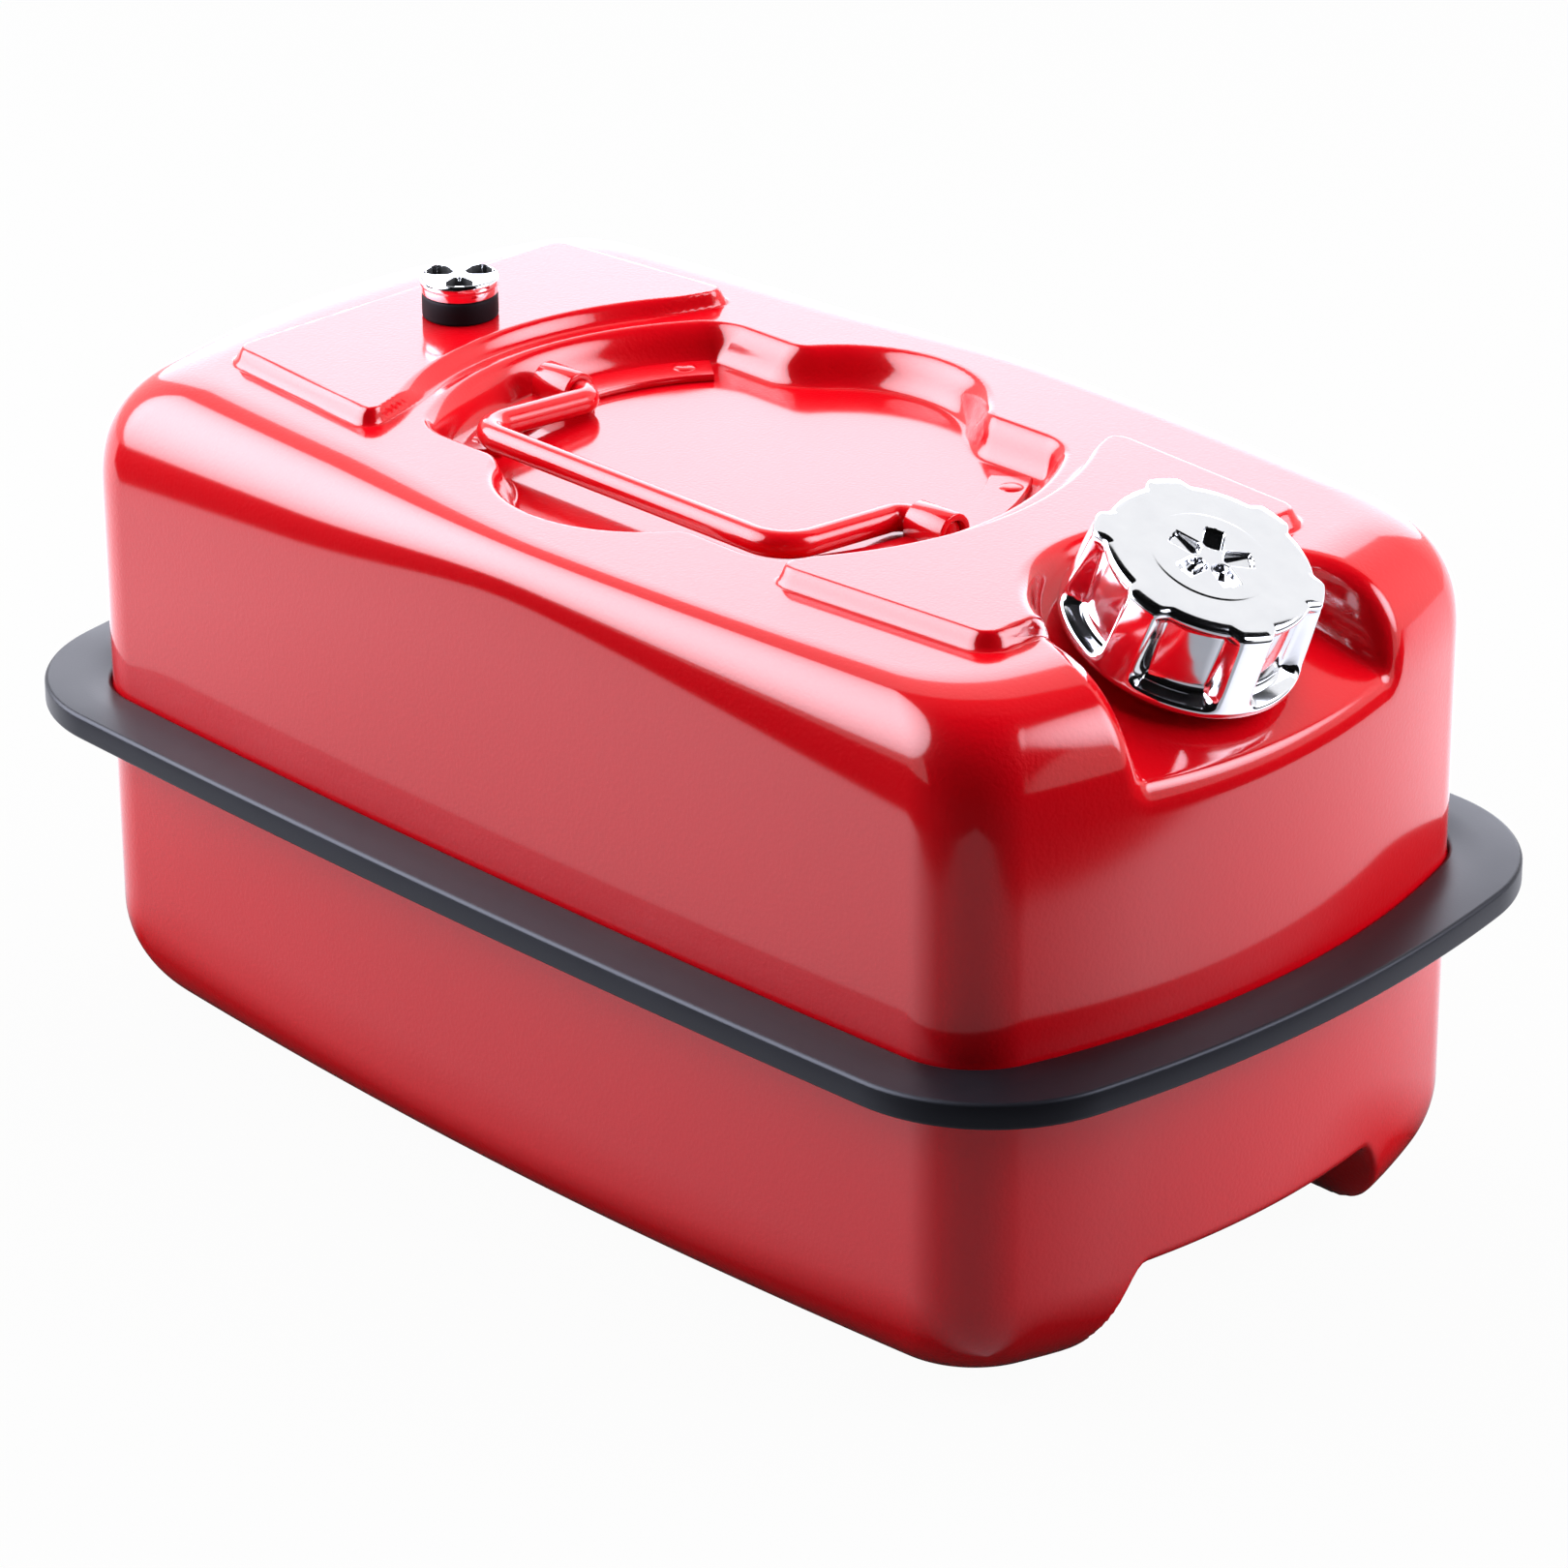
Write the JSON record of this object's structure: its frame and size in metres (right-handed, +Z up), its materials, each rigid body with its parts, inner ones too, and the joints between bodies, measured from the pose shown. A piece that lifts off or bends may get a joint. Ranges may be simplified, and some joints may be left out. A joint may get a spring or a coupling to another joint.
{
  "type": "gas can",
  "caption": "Horizontal red steel gas can with a folding bail handle in a sunk recess, a lobed screw filler cap, a breather screw and a rubber band round its seam.",
  "frame": {"origin": "middle of the footprint, on the underside of the two rails", "axes": "+X along the can toward the filler cap, +Z up"},
  "size_m": [0.3824, 0.22, 0.2023],
  "materials": {
    "red_paint": "gloss, slight orange peel",
    "black_rubber": "satin",
    "seal_rubber": "matte",
    "bright_chrome": "polished",
    "plated_steel": "satin",
    "black_plastic": "moulded"
  },
  "bodies": {
    "can": {"upper_shell": "red_paint", "lower_shell": "red_paint", "bumper_band": "black_rubber", "bracket_left": "red_paint", "bracket_right": "red_paint", "filler_neck": "red_paint", "vent_boss": "plated_steel"},
    "handle": {"bail_handle": "red_paint"},
    "cap_seal": {"cap_gasket": "seal_rubber"},
    "cap": {"cap_shell": "bright_chrome", "cap_insert": "black_plastic"},
    "vent_seal": {"vent_gasket": "seal_rubber"},
    "vent": {"vent_knob": "bright_chrome", "vent_stem": "plated_steel"}
  },
  "joints": [
    {"name": "handle_swing", "type": "hinge", "parent": "can", "child": "handle", "pos_m": [-0.0045, 0, 0.173], "axis": [-1, 0, 0], "range_deg": [0, 172]},
    {"name": "cap_lift", "type": "slide", "parent": "can", "child": "cap_seal", "axis": [0.3907, 0, 0.9205], "range_m": [0, 0.01]},
    {"name": "cap_turn", "type": "hinge", "parent": "cap_seal", "child": "cap", "pos_m": [0.1396, 0, 0.1661], "axis": [0.3907, 0, 0.9205], "range_deg": [0, 918]},
    {"name": "vent_lift", "type": "slide", "parent": "can", "child": "vent_seal", "axis": [0, 0, 1], "range_m": [0, 0.006]},
    {"name": "vent_turn", "type": "hinge", "parent": "vent_seal", "child": "vent", "pos_m": [-0.1103, 0, 0.19], "axis": [0, 0, 1], "range_deg": [0, 1470]}
  ],
  "couplings": [
    {"joint": "cap_turn", "follows": "cap_lift", "rad_per_m": 1570.8},
    {"joint": "vent_turn", "follows": "vent_lift", "rad_per_m": 4188.8}
  ]
}
